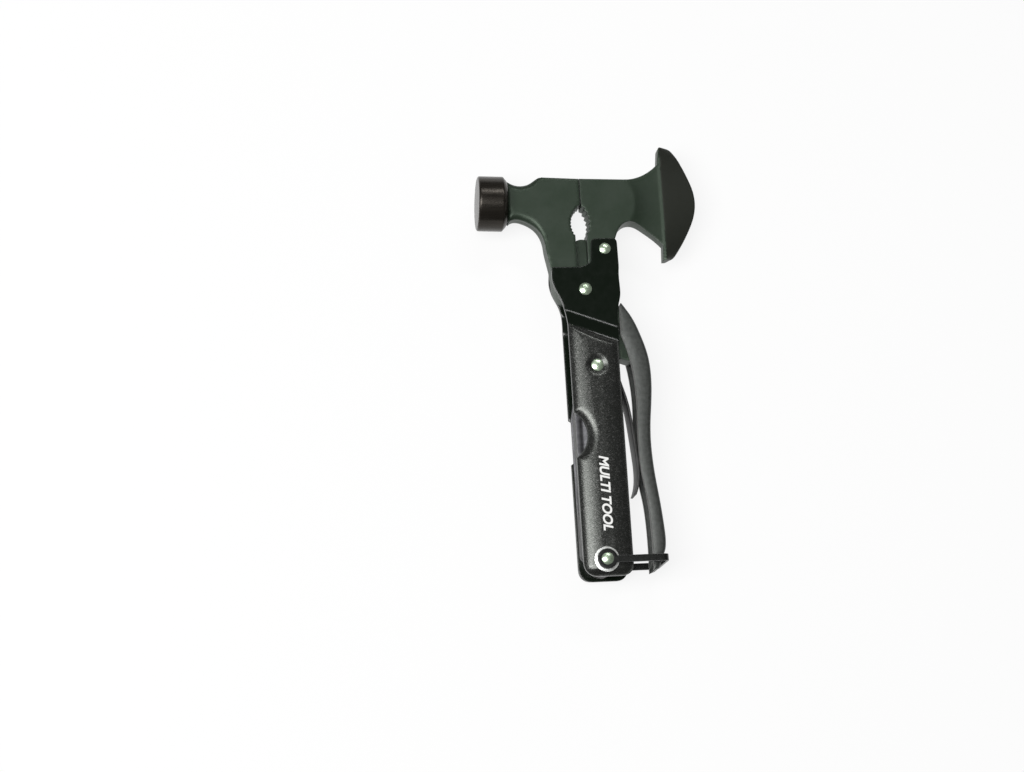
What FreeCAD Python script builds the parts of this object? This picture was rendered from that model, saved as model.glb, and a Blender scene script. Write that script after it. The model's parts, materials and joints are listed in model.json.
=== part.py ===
"""Folding hatchet multi tool: plier head with a hammer and an axe, handle with five folding tools.

Millimetres.  The tool lies on its back: +Y runs along the handle to the head, +X towards the axe
edge, +Z out of the front face.  Everything is drawn about the plier pivot and moved at the end,
so that the origin is the middle of the underside of the whole tool's box.
"""
import FreeCAD, Part
import math
import os
from FreeCAD import Vector

# ---- driving dimensions ------------------------------------------------------------------
PIVOT = (0.0, 0.0)            # plier pivot
BRACKET_RIVET = (9.1, 16.8)   # holds the axe jaw between the liners
MIDDLE_RIVET = (2.0, -32.9)   # holds liners and scales, carries the leaf spring
END_RIVET = (0.3, -111.3)     # carries the folding tools and the latch
STOP_PIN = (8.6, -101.0)      # the closed tools rest on it

JAW_HALF = 4.25               # half the thickness of the fixed jaw
SIDE_GAP = 0.1                # room between a moving jaw and what it slides on
LAP_RADIUS = 8.0              # half-thickness discs that cross at the pivot
LAP_GAP = 0.25                # room round a lap disc
SPLIT_X = 0.6                 # where the closed jaws meet at the nose
SPLIT_GAP = 0.16

SHEET = 1.5                   # liner sheet
HANDLE_INSIDE = 7.25          # half the room between the liners in the handle
LEFT, RIGHT, BOTTOM = -8.6, 11.3, -117.6
SCALE_THICK = 2.6
DISH_RADIUS, DISH_DEPTH = 4.5, 1.3            # hollow in the scale round the middle rivet
RAMP_TURN = -20.5             # the liners' step crosses the handle at this angle
RAMP_TOP, RAMP_END = -11.1, -17.1

SHAFT = 2.0                   # radius of the main rivets
BRACKET_SHAFT = 1.8
RUN_FIT = 0.05                # radial room of a turning piece on its rivet
FIXED_FIT = 0.01              # radial room of a riveted piece
LEVER_HALF = 6.0              # half the lever's width
LEVER_SHEET = 1.5
LATCH_REACH = 23.6            # end rivet to the inside of the latch bar
LATCH_STRAP = 1.0
LATCH_LOW, LATCH_HIGH = -1.65, 1.1            # strap edges, measured from the end rivet
TOOL_GAP = 0.03               # room on each side of a folding tool
SPACER = 0.45

SCALE_TOP = HANDLE_INSIDE + SHEET + SCALE_THICK


# ---- small helpers ---------------------------------------------------------------------
def vec(point, z=0.0):
    return Vector(point[0], point[1], z)


def outline(start, *steps):
    """Closed wire in z = 0.  A step is a point (straight run), ("arc", via, end) for a round
    stretch, or ("curve", point, ..., end) for a smooth line through points."""
    edges = []
    here = start
    for step in steps + (start,):
        if step[0] == "arc":
            edges.append(Part.Arc(vec(here), vec(step[1]), vec(step[2])).toShape())
            here = step[2]
        elif step[0] == "curve":
            curve = Part.BSplineCurve()
            curve.interpolate([vec(p) for p in (here,) + step[1:]])
            edges.append(curve.toShape())
            here = step[-1]
        elif math.dist(here, step) > 1e-6:
            edges.append(Part.makeLine(vec(here), vec(step)))
            here = step
    return Part.Wire(edges)


def slab(wire, low, high):
    """Flat piece with this outline between two heights."""
    face = Part.Face(wire)
    face.translate(Vector(0, 0, low))
    return face.extrude(Vector(0, 0, high - low))


def post(centre, radius, low, high):
    """Round post along Z."""
    return Part.makeCylinder(radius, high - low, vec(centre, low))


def hole(centre, radius):
    """Round post that is longer than the tool is thick."""
    return post(centre, radius, -20.0, 20.0)


def ring(centre, outer, inner, low, high):
    return post(centre, outer, low, high).cut(post(centre, inner, low, high))


def mirrored(shape):
    return shape.mirror(Vector(0, 0, 0), Vector(0, 0, 1))


def across(profile, reach=60.0):
    """Solid with this X-Z outline, carried along Y through the whole tool."""
    points = [Vector(x, -2 * reach, z) for x, z in profile]
    face = Part.Face(Part.makePolygon(points + points[:1]))
    return face.extrude(Vector(0, 3.2 * reach, 0))


def spun(profile, centre, angle_axis, turn=0.0):
    """Solid of revolution: (along, radius) points about an axis in the X-Y plane."""
    points = [Vector(along, radius, 0) for along, radius in profile]
    face = Part.Face(Part.makePolygon(points + points[:1]))
    solid = face.revolve(Vector(0, 0, 0), Vector(1, 0, 0), 360)
    solid.rotate(Vector(0, 0, 0), Vector(0, 0, 1), angle_axis)
    solid.translate(vec(centre))
    return solid


def dome(centre, radius, seat, height):
    """Rivet head: a low spherical cap on a short straight rim."""
    rim = 0.3
    ball = (radius ** 2 + (height - rim) ** 2) / (2 * (height - rim))
    cap = Part.makeSphere(ball, vec(centre, seat + height - ball))
    return cap.common(post(centre, radius, seat, seat + height + 1))


def rivet(centre, shaft, head, seat, height):
    """Shaft with a domed head at each end; seat is the height that the heads sit on."""
    top = dome(centre, head, seat, height)
    return post(centre, shaft, -seat, seat).fuse([top, mirrored(top)]).removeSplitter()


def teeth(start, via, end, count, depth):
    """Points of a row of teeth that stand in from an arc."""
    arc = Part.Arc(vec(start), vec(via), vec(end)).toShape()
    middle = arc.Curve.Center
    points = []
    for i, root in enumerate(arc.discretize(2 * count + 1)):
        inwards = (middle - root).normalize() * (depth if i % 2 else 0.0)
        points.append((root.x + inwards.x, root.y + inwards.y))
    return points


# ---- fixed jaw with the axe -------------------------------------------------------------
AXE_EDGE = [(39.9, 60.3), (43.2, 55.8), (46.4, 48.7), (48.5, 42.6), (49.1, 36.4),
            (48.4, 32.0), (46.9, 27.8), (43.3, 20.8), (38.9, 14.1)]
AXE_SHOULDER, AXE_SHOULDER_HALF, AXE_EDGE_HALF = 34.6, 3.0, 0.2


def axe_blade():
    """Wedge from the shoulder to the curved edge, lofted through one section per edge point."""
    ends = [(38.9, 61.4)] + AXE_EDGE + [(36.4, 11.8)]
    sections = []
    for x, y in ends:
        corners = [(AXE_SHOULDER - 0.6, AXE_SHOULDER_HALF - 0.35), (AXE_SHOULDER + 0.4, AXE_SHOULDER_HALF),
                   (x, AXE_EDGE_HALF)]
        loop = corners + [(cx, -cz) for cx, cz in reversed(corners)]
        points = [Vector(cx, y, cz) for cx, cz in loop]
        sections.append(Part.makePolygon(points + points[:1]))
    return Part.makeLoft(sections, True, False)


def axe_jaw():
    slot = 2.2
    left = SPLIT_X + SPLIT_GAP / 2
    grip = teeth((2.6, 22.6), (3.9, 30.0), (left + 0.1, 36.6), 7, 0.75)
    whole = outline(
        (left, 47.35), (20.1, 46.6), ("curve", (24.3, 47.4), (28.7, 49.3), (33.9, 53.3)),
        (34.6, 60.2), ("arc", (34.9, 60.8), (35.6, 61.0)), (39.2, 60.7),
        ("curve",) + tuple(AXE_EDGE), ("arc", (37.3, 12.75), (35.3, 12.3)), (33.5, 12.1), (33.8, 18.6),
        ("curve", (30.4, 22.1), (26.3, 25.5), (23.5, 27.7), (21.2, 28.6), (18.9, 28.3), (16.6, 26.7),
         (15.1, 24.4)), (13.6, 20.6), (13.6, 5.0), (6.9, 2.6), (slot, 7.6), (slot, 21.6), *grip,
        (left, 36.9))
    plate = slab(whole, -JAW_HALF, JAW_HALF)
    # waist between the plier and the blade
    half = across([(-30, JAW_HALF), (20.2, JAW_HALF), (22.2, 3.85), (24.6, 3.3), (27.4, 2.85), (30.6, 2.6),
                   (34.0, 2.6), (34.0, -2.6), (30.6, -2.6), (27.4, -2.85), (24.6, -3.3), (22.2, -3.85),
                   (20.2, -JAW_HALF), (-30, -JAW_HALF)])
    jaw = plate.common(half).fuse(axe_blade().common(plate))
    lap = post(PIVOT, LAP_RADIUS, -JAW_HALF, -SIDE_GAP)
    web = slab(outline((-2.0, 6.0), (slot + 0.5, 6.0), (slot + 0.5, 22.2),
                       ("arc", (0.2, 22.7), (-2.0, 21.9))), -JAW_HALF, -SIDE_GAP)
    room = post(PIVOT, LAP_RADIUS + LAP_GAP, -SIDE_GAP, JAW_HALF)
    jaw = jaw.cut(room).fuse([lap, web])
    jaw = jaw.cut(hole(PIVOT, SHAFT + FIXED_FIT)).cut(hole(BRACKET_RIVET, BRACKET_SHAFT + FIXED_FIT))
    return jaw.removeSplitter()


# ---- moving jaw with the hammer ----------------------------------------------------------
HAMMER_RADIUS = 11.25
HAMMER_BACK, HAMMER_TILT, HAMMER_LENGTH = (-29.7, 38.3), -2.7, 12.0


def hammer_head():
    r, length = HAMMER_RADIUS, HAMMER_LENGTH
    profile = [(0, 0), (0, r - 1.7), (1.7, r), (length - 1.0, r), (length - 0.6, r - 0.12),
               (length - 0.25, r - 0.4), (length, r - 1.0), (length, 0)]
    return spun(profile, HAMMER_BACK, 180 + HAMMER_TILT)


def hammer_jaw():
    side = JAW_HALF - SIDE_GAP
    right = SPLIT_X - SPLIT_GAP / 2
    grip = teeth((-2.3, 22.6), (-3.9, 30.4), (right - 0.1, 36.4), 11, 0.45)
    whole = outline(
        (right, 47.35), (-16.0, 48.4),
        ("curve", (-18.0, 47.3), (-20.2, 45.9), (-22.4, 45.3), (-24.8, 45.3), (-27.2, 46.1), (-29.9, 48.0)),
        (-29.9, 28.6), ("curve", (-28.7, 30.3), (-26.4, 30.9), (-23.7, 30.3), (-20.7, 28.8), (-18.3, 26.9),
                        (-16.4, 24.2), (-15.5, 21.6), (-15.1, 17.8)),
        (-13.4, 9.2), ("curve", (-13.2, 5.9), (-12.9, 2.5), (-12.0, -1.0)),
        ("arc", (-10.3, -3.9), (-7.2, -5.2)),
        (-2.3, -4.0), (-2.3, 21.4), *grip, (right, 36.8))
    jaw = slab(whole, -side, side)
    tail = slab(outline((5.5, -4.6), (7.9, -2.7), (13.3, -4.6), (13.6, -9.5), (12.9, -17.4), (10.2, -13.3),
                        (4.0, -7.6)), -side, side)
    tongue = slab(outline((13.35, -7.2), ("curve", (15.4, -10.6), (17.3, -14.9), (18.9, -20.2)),
                          (20.6, -26.5), (17.0, -30.6), (12.2, -29.0), (12.1, -20.0), (13.1, -18.4)),
                 -LEVER_HALF + LEVER_SHEET, LEVER_HALF - LEVER_SHEET)
    lap = post(PIVOT, LAP_RADIUS, SIDE_GAP, side)
    room = post(PIVOT, LAP_RADIUS + LAP_GAP, -JAW_HALF - 1, SIDE_GAP)
    solid = jaw.fuse([tail]).cut(room).fuse([lap, tongue, hammer_head()])
    return solid.cut(hole(PIVOT, SHAFT + RUN_FIT)).removeSplitter()


# ---- lever ------------------------------------------------------------------------------
LEVER_OUTER = [(14.25, -5.8), (15.4, -7.5), (18.4, -12.3), (21.3, -19.4), (23.7, -27.7), (24.5, -36.0),
               (24.0, -46.0), (22.7, -58.0), (22.6, -69.5), (23.4, -79.6), (24.4, -88.0), (25.3, -98.0),
               (25.5, -104.5), (25.1, -107.6)]
LEVER_INNER = [(13.1, -19.6), (14.5, -23.6), (16.3, -31.0), (17.3, -39.0), (17.6, -46.0), (17.2, -57.0),
               (17.0, -68.0), (17.5, -77.0), (18.9, -86.0), (19.7, -97.0), (19.8, -108.0)]


def inset(points, distance):
    """The same run of points, moved square to itself towards the handle."""
    moved = []
    for i, (x, y) in enumerate(points):
        ax, ay = points[max(i - 1, 0)]
        bx, by = points[min(i + 1, len(points) - 1)]
        length = math.dist((ax, ay), (bx, by))
        moved.append((x + (by - ay) / length * distance, y - (bx - ax) / length * distance))
    return moved


def lever_channel():
    """Channel section: web outside, two flanges, rounded along both outer edges."""
    outer = outline(LEVER_OUTER[0], ("curve",) + tuple(LEVER_OUTER[1:]), (24.2, -109.5), (23.7, -109.9),
                    (23.6, -110.6), (22.5, -113.7), ("arc", (21.9, -115.1), (20.6, -115.6)), (19.6, -115.6),
                    LEVER_INNER[-1], ("curve",) + tuple(reversed(LEVER_INNER[:-1])), (13.35, -7.3))
    web_line = inset(LEVER_OUTER, 1.7)
    pocket = outline(web_line[0], ("curve",) + tuple(web_line[1:]), (21.9, -109.8), (20.6, -120.0),
                     (8.0, -120.0), (8.0, -4.5))
    inside = LEVER_HALF - LEVER_SHEET
    return slab(outer, -LEVER_HALF, LEVER_HALF).cut(slab(pocket, -inside, inside))


# ---- liners, scales ---------------------------------------------------------------------
NOTCH_CENTRE, NOTCH_RADIUS = (-14.4, -60.7), 10.9


def notch_span(x, radius):
    """Heights at which the thumb notch's circle crosses the line at x."""
    half = math.sqrt(radius ** 2 - (x - NOTCH_CENTRE[0]) ** 2)
    return NOTCH_CENTRE[1] - half, NOTCH_CENTRE[1] + half


def liner_outline():
    low, high = notch_span(LEFT, NOTCH_RADIUS)
    deepest = (NOTCH_CENTRE[0] + NOTCH_RADIUS, NOTCH_CENTRE[1])
    return outline(
        (-13.1, 9.6), (-1.3, 9.4), ("curve", (0.7, 10.1), (2.9, 11.3)), (3.6, 20.4),
        ("arc", (3.9, 21.0), (4.6, 21.25)), (13.2, 21.2), ("arc", (14.0, 20.8), (14.3, 20.0)), (14.4, 9.0),
        ("curve", (14.2, 1.5), (14.1, -3.4), (12.9, -7.9), (12.4, -14.6), (RIGHT, -25.0)),
        (RIGHT, BOTTOM + 4.0), ("arc", (RIGHT - 1.2, BOTTOM + 1.2), (RIGHT - 4.0, BOTTOM)),
        (LEFT + 5.0, BOTTOM), ("arc", (LEFT + 1.5, BOTTOM + 1.5), (LEFT, BOTTOM + 5.0)),
        (LEFT, low), ("arc", deepest, (LEFT, high)), (LEFT, -18.0),
        ("curve", (-8.8, -11.0), (-10.3, -4.2), (-12.0, -0.7), (-13.2, 3.0), (-13.4, 6.6)))


def stepped_sheet():
    """Sheet that runs flat on the jaws, steps out along a slanting ramp, and runs flat again."""
    inner, outer = JAW_HALF, HANDLE_INSIDE
    lift = 0.35                                # the bends share this much of the ramp's length
    profile = [(60, inner), (RAMP_TOP, inner), (RAMP_END, outer), (-140, outer), (-140, outer + SHEET),
               (RAMP_END + lift, outer + SHEET), (RAMP_TOP + lift, inner + SHEET), (60, inner + SHEET)]
    points = [Vector(-60, t, z) for t, z in profile]
    sheet = Part.Face(Part.makePolygon(points + points[:1])).extrude(Vector(120, 0, 0))
    sheet.rotate(Vector(0, 0, 0), Vector(0, 0, 1), RAMP_TURN)
    return sheet


def liner():
    sheet = stepped_sheet().common(slab(liner_outline(), 0, 20))
    for centre, radius in ((PIVOT, SHAFT), (BRACKET_RIVET, BRACKET_SHAFT), (MIDDLE_RIVET, SHAFT),
                           (END_RIVET, SHAFT), (STOP_PIN, 1.0)):
        sheet = sheet.cut(hole(centre, radius + FIXED_FIT))
    return sheet


def scale_outline(left, right, top, bottom, notch, corner):
    """Scale outline at one height; the insets come from its bevelled edges."""
    slope = math.tan(math.radians(RAMP_TURN - 2.5))
    low, high = notch_span(left, notch)
    deepest = (NOTCH_CENTRE[0] + notch, NOTCH_CENTRE[1])
    bite = corner * (1 - math.sqrt(0.5))
    return outline(
        (left, top + slope * left), (right, top + slope * right), (right, bottom + corner),
        ("arc", (right - bite, bottom + bite), (right - corner, bottom)), (left + corner, bottom),
        ("arc", (left + bite, bottom + bite), (left, bottom + corner)),
        (left, low), ("arc", deepest, (left, high)))


def scale():
    base = HANDLE_INSIDE + SHEET
    rim = scale_outline(LEFT + 0.1, RIGHT - 0.1, -18.4, BOTTOM + 0.1, NOTCH_RADIUS + 0.1, 4.6)
    crown = scale_outline(LEFT + 2.7, RIGHT - 2.4, -19.3, BOTTOM + 2.0, NOTCH_RADIUS + 2.4, 3.0)
    step = 0.45                                # straight rim under the bevel
    lower = slab(rim, base, base + step)
    rim.translate(Vector(0, 0, base + step))
    crown.translate(Vector(0, 0, SCALE_TOP))
    body = lower.fuse(Part.makeLoft([rim, crown], True, True)).removeSplitter()
    ball = (DISH_RADIUS ** 2 + DISH_DEPTH ** 2) / (2 * DISH_DEPTH)
    body = body.cut(Part.makeSphere(ball, vec(MIDDLE_RIVET, SCALE_TOP - DISH_DEPTH + ball)))
    for centre in (MIDDLE_RIVET, END_RIVET):
        body = body.cut(hole(centre, SHAFT + FIXED_FIT))
    return body


# ---- leaf spring ------------------------------------------------------------------------
SPRING_LINE = [(9.8, -33.5), (12.3, -40.0), (14.4, -48.0), (15.7, -58.0), (16.5, -67.0), (16.9, -74.6),
               (16.5, -80.0), (15.0, -85.0)]
SPRING_THICK, SPRING_HALF = 0.8, 5.5


def leaf_spring():
    """Strip that curls round the middle spacer, runs out to the lever and turns back at its tip."""
    inner = 3.3 + RUN_FIT
    outer = inner + SPRING_THICK
    back = inset(SPRING_LINE, SPRING_THICK)
    foot_x, foot_y = MIDDLE_RIVET
    strip = slab(outline((foot_x, foot_y + outer), ("curve", (6.6, -29.9)) + tuple(SPRING_LINE), back[-1],
                         ("curve",) + tuple(reversed(back[:-1])) + ((6.2, -30.6), (foot_x, foot_y + inner))),
                 -SPRING_HALF, SPRING_HALF)
    curl = ring(MIDDLE_RIVET, outer, inner, -SPRING_HALF, SPRING_HALF)
    mouth = slab(outline((2.6, -33.2), (12.0, -31.9), (12.0, -35.0), (8.0, -36.0)), -8, 8)
    return strip.fuse(curl.cut(mouth)).cut(hole(MIDDLE_RIVET, inner)).removeSplitter()


# ---- latch ------------------------------------------------------------------------------
WASHER = 0.5


def latch_bail():
    """Strap bent to a U: an eye on each side of the handle and a bar across the lever."""
    arm_low = SCALE_TOP + WASHER + 0.05
    arm_high = arm_low + 1.1
    bend = 2.2
    reach = LATCH_REACH + LATCH_STRAP
    cx, cy = END_RIVET
    profile = [(cx, arm_high), (cx + reach - bend, arm_high)]
    for i in range(1, 7):
        turn = math.radians(90 - 15 * i)
        profile.append((cx + reach - bend + bend * math.cos(turn), arm_high - bend + bend * math.sin(turn)))
    inner = [(cx, arm_low), (cx + reach - bend, arm_low)]
    small = bend - LATCH_STRAP
    for i in range(1, 7):
        turn = math.radians(90 - 15 * i)
        inner.append((cx + reach - bend + small * math.cos(turn), arm_low - small + small * math.sin(turn)))
    inner[-1] = (cx + LATCH_REACH, inner[-1][1])
    loop = profile + [(x, -z) for x, z in reversed(profile)] + [(x, -z) for x, z in inner] + inner[::-1]
    points = [Vector(x, cy + LATCH_LOW, z) for x, z in loop]
    strap = Part.Face(Part.makePolygon(points + points[:1])).extrude(Vector(0, LATCH_HIGH - LATCH_LOW, 0))
    eye = post((cx, cy), 4.05, arm_low, arm_high)
    solid = strap.fuse([eye, mirrored(eye)])
    return solid.cut(hole(END_RIVET, SHAFT + RUN_FIT)).removeSplitter()


# ---- folding tools ----------------------------------------------------------------------
TOOL_THICK = (("knife_blade", 2.2), ("saw_blade", 2.0), ("file_driver", 2.2),
              ("phillips_driver", 3.0), ("can_opener", 2.0))
TANG = 5.2
TOOL_BACK = -8.2              # the tools' spines, measured from the end rivet


def tool_floors():
    """Lower height of each tool and of each spacer, stacked from the front liner down."""
    z = HANDLE_INSIDE
    tools, spacers = {}, []
    for name, thick in TOOL_THICK:
        z -= SPACER
        spacers.append(z)
        z -= TOOL_GAP + thick
        tools[name] = z
        z -= TOOL_GAP
    spacers.append(-HANDLE_INSIDE)
    return tools, spacers


def at_pivot(points):
    """Points given from the end rivet, moved to their place."""
    return [(x + END_RIVET[0], y + END_RIVET[1]) for x, y in points]


def tang(low, high):
    foot = at_pivot([(TOOL_BACK, 3.0), (-3.5, -3.6), (5.0, 0.0), (5.0, 13.0), (TOOL_BACK, 13.0)])
    return post(END_RIVET, TANG, low, high).fuse(slab(outline(*foot), low, high))


def finish_tool(blade, low, high):
    return blade.fuse(tang(low, high)).cut(hole(END_RIVET, SHAFT + RUN_FIT)).removeSplitter()


def nail_nick(low, high):
    """Shallow groove that a thumb nail pulls, in the front face at the thumb notch."""
    bed = high + 0.35
    start, end = at_pivot([(-4.6, 44.0), (-4.6, 57.0)])
    groove = Part.makeCylinder(1.1, math.dist(start, end), vec(start, bed), Vector(0, 1, 0))
    return groove.common(slab(outline(*at_pivot([(-6, 44), (-3, 44), (-3, 57), (-6, 57)])), low + 0.6, bed))


def knife_blade(low, high):
    middle, half = (low + high) / 2, (high - low) / 2
    a, b, c, d, e, f, g = at_pivot([(TOOL_BACK, 10), (TOOL_BACK, 60.0), (-6.6, 66.4), (-3.4, 71.0), (2.4, 62.0),
                                    (4.4, 50.0), (4.2, 15.0)])
    blade = slab(outline(a, g, f, ("curve", e, d), ("curve", c, b)), low, high)
    edge = END_RIVET[0] + 5.4
    grind = across([(-30, middle + half), (-2.4, middle + half), (edge, middle + 0.05), (edge, middle - 0.05),
                    (-2.4, middle - half), (-30, middle - half)])
    return finish_tool(blade.common(grind).cut(nail_nick(low, high)), low, high)


def saw_blade(low, high):
    pitch, count, depth = 3.0, 17, 1.7
    points = [(TOOL_BACK, 10.0), (3.2, 13.0)]
    for i in range(count):
        points += [(4.6, 14.6 + i * pitch), (4.6 - depth, 14.6 + (i + 0.55) * pitch)]
    points += [(3.0, 67.5), (-1.5, 70.6), (TOOL_BACK, 66.0)]
    return finish_tool(slab(outline(*at_pivot(points)), low, high), low, high)


def file_driver(low, high):
    bar = slab(outline(*at_pivot([(TOOL_BACK, 10), (2.6, 12), (2.6, 60), (0.2, 64.0), (0.2, 70.8), (-5.2, 70.8),
                                  (-5.2, 64.0), (TOOL_BACK, 60)])), low, high)
    middle = (low + high) / 2
    tip_start, tip_end = END_RIVET[1] + 64.0, END_RIVET[1] + 71.0
    wedge = [Vector(-30, y, z) for y, z in ((tip_start, low - 1), (tip_start, low), (tip_end, middle - 0.4),
                                            (tip_end + 2, middle - 0.4), (tip_end + 2, low - 1))]
    below = Part.Face(Part.makePolygon(wedge + wedge[:1])).extrude(Vector(60, 0, 0))
    above = below.mirror(Vector(0, 0, middle), Vector(0, 0, 1))
    return finish_tool(bar.cut(below).cut(above), low, high)


def phillips_driver(low, high):
    middle, radius = (low + high) / 2, (high - low) / 2
    x, y = at_pivot([(-2.6, 12.0)])[0]
    shank = Part.makeCylinder(radius, 55.0, Vector(x, y, middle), Vector(0, 1, 0))
    tip = Part.makeCone(radius, 0.5, 3.8, Vector(x, y + 55.0, middle), Vector(0, 1, 0))
    solid = shank.fuse(tip)
    for i in range(4):
        flute = Part.makeBox(4, 9, 4, Vector(0.42, 0, 0.42))
        flute.rotate(Vector(0, 0, 0), Vector(1, 0, 0), 6)
        flute.rotate(Vector(0, 0, 0), Vector(0, 1, 0), 90 * i)
        flute.translate(Vector(x, y + 51.5, middle))
        solid = solid.cut(flute)
    foot = at_pivot([(TOOL_BACK, 12), (5.0, 12), (-1.2, 22), (-5.6, 24), (TOOL_BACK, 20)])
    neck = slab(outline(*foot), low, high)
    return finish_tool(solid.fuse(neck), low, high)


def can_opener(low, high):
    a = at_pivot([(TOOL_BACK, 10), (3.6, 13), (3.6, 40), (2.0, 43.0), (2.0, 44.8), (4.2, 48.5), (4.2, 52.0),
                  (2.6, 56.5), (-1.2, 60.0), (-1.2, 68.0), (-6.4, 68.0), (TOOL_BACK, 60.0)])
    solid = slab(outline(a[0], a[1], a[2], ("arc", at_pivot([(-0.6, 43.2)])[0], a[4]), a[5],
                         ("arc", at_pivot([(4.9, 50.4)])[0], a[6]), ("curve", a[7], a[8]), *a[9:]), low, high)
    return finish_tool(solid, low, high)


TOOL_MAKERS = {"knife_blade": knife_blade, "saw_blade": saw_blade, "file_driver": file_driver,
               "phillips_driver": phillips_driver, "can_opener": can_opener}


# ---- assembly ---------------------------------------------------------------------------
def build():
    parts = {"axe_jaw": axe_jaw(), "hammer_jaw": hammer_jaw()}
    parts["lever_channel"] = lever_channel().cut(parts["hammer_jaw"])
    parts["front_liner"] = liner()
    parts["rear_liner"] = mirrored(parts["front_liner"])
    parts["front_scale"] = scale()
    parts["rear_scale"] = mirrored(parts["front_scale"])

    liner_face = JAW_HALF + SHEET
    dish_floor = SCALE_TOP - DISH_DEPTH + 0.02
    latch_face = SCALE_TOP + WASHER + 0.05 + 1.1 + 0.05
    parts["pivot_rivet"] = rivet(PIVOT, SHAFT, 2.6, liner_face, 0.95)
    parts["bracket_rivet"] = rivet(BRACKET_RIVET, BRACKET_SHAFT, 2.35, liner_face, 0.85)
    parts["middle_rivet"] = rivet(MIDDLE_RIVET, SHAFT, 2.5, dish_floor + 0.4, 0.8)
    parts["end_rivet"] = rivet(END_RIVET, SHAFT, 2.4, latch_face, 0.9)
    parts["middle_spacer"] = ring(MIDDLE_RIVET, 3.3, SHAFT + FIXED_FIT, -HANDLE_INSIDE, HANDLE_INSIDE)
    parts["stop_pin"] = post(STOP_PIN, 1.5, -HANDLE_INSIDE, HANDLE_INSIDE).fuse(
        post(STOP_PIN, 1.0, -HANDLE_INSIDE - SHEET, HANDLE_INSIDE + SHEET)).removeSplitter()

    parts["leaf_spring"] = leaf_spring()
    parts["latch_bail"] = latch_bail()
    washer = ring(END_RIVET, 5.0, SHAFT + FIXED_FIT, SCALE_TOP, SCALE_TOP + WASHER)
    parts["end_washers"] = Part.makeCompound([washer, mirrored(washer)])

    floors, spacer_floors = tool_floors()
    thickness = dict(TOOL_THICK)
    for name, maker in TOOL_MAKERS.items():
        parts[name] = maker(floors[name], floors[name] + thickness[name])
    parts["tool_spacers"] = Part.makeCompound(
        [ring(END_RIVET, TANG, SHAFT + FIXED_FIT, z, z + SPACER) for z in spacer_floors])
    return parts


def main():
    parts = build()
    box = Part.makeCompound(list(parts.values())).BoundBox
    shift = Vector(-(box.XMin + box.XMax) / 2, -(box.YMin + box.YMax) / 2, -box.ZMin)
    os.makedirs("parts", exist_ok=True)
    for name, shape in parts.items():
        shape.translate(shift)
        shape.exportStep(f"parts/{name}.step")
        print(f"{name:16s} solids {len(shape.Solids)}  valid {shape.isValid()}  {shape.Volume / 1000:8.3f} cm3")
    print("size", [round(v, 2) for v in (box.XLength, box.YLength, box.ZLength)])
    print("shift", [round(v, 4) for v in shift])
    for label, centre in (("pivot", PIVOT), ("middle", MIDDLE_RIVET), ("end", END_RIVET)):
        print(label, [round(v, 4) for v in (vec(centre) + shift)])


if __name__ == "__main__":
    main()
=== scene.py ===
# %% [markdown]
# # A folding hatchet multi tool
# The CAD model fixes every size and every place. This lesson puts the real surfaces round it: rounded
# edges, ground bevels, pressed scales, and the paint, oxide and polish of each piece. Shapes are worked
# out in millimetres with numpy, and turned into metres when they become a mesh.

# %% Load the frame
import json
import math

import bmesh
import bpy
import numpy as np
from mathutils import Matrix, Vector, geometry

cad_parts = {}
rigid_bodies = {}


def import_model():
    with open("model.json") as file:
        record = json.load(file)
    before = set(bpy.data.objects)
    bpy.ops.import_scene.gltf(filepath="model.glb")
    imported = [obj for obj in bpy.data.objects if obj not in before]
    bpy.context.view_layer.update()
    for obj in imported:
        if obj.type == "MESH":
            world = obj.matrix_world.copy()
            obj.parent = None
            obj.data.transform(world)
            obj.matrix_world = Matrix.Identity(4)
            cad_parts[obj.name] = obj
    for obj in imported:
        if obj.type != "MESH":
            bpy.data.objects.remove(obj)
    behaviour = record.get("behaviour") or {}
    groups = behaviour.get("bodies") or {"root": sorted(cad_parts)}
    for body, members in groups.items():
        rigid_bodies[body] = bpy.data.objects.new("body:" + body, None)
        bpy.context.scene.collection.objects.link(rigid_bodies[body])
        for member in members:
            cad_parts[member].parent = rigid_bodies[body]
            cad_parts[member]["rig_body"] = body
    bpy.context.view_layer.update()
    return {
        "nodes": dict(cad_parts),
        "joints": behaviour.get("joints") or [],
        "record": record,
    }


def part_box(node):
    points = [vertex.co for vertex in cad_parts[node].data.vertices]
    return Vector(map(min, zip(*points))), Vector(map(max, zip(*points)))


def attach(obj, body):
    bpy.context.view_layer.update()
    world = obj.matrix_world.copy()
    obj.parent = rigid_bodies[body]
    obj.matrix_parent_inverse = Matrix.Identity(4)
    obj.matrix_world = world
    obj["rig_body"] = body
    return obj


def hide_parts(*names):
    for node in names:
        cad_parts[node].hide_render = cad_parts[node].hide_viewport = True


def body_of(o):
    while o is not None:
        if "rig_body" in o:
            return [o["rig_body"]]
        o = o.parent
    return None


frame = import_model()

MM = 0.001
JOINT_AT = {joint["name"]: np.array(joint["pos_m"]) / MM for joint in frame["joints"]}
PIVOT, END, MIDDLE = JOINT_AT["jaw_pivot"], JOINT_AT["latch_swing"], JOINT_AT["spring_flex"]
MID_Z = PIVOT[2]
SLOT_OF = {part["node"]: part["material_slot"] for part in frame["record"]["subparts"]}

# %% [markdown]
# ## Reading an outline from the CAD model
# Most pieces of this tool are cut or pressed from flat stock, so their shape is an outline and a
# thickness. The outline is already in the CAD model. It is read as the border of the faces that look
# up, which is safer than typing it again: the new surface can't drift away from the model.


# %% Outlines of a CAD node
def box_mm(node):
    """Lowest and highest corner of a CAD node, in millimetres."""
    low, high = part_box(node)
    return np.array(low) / MM, np.array(high) / MM


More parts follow.
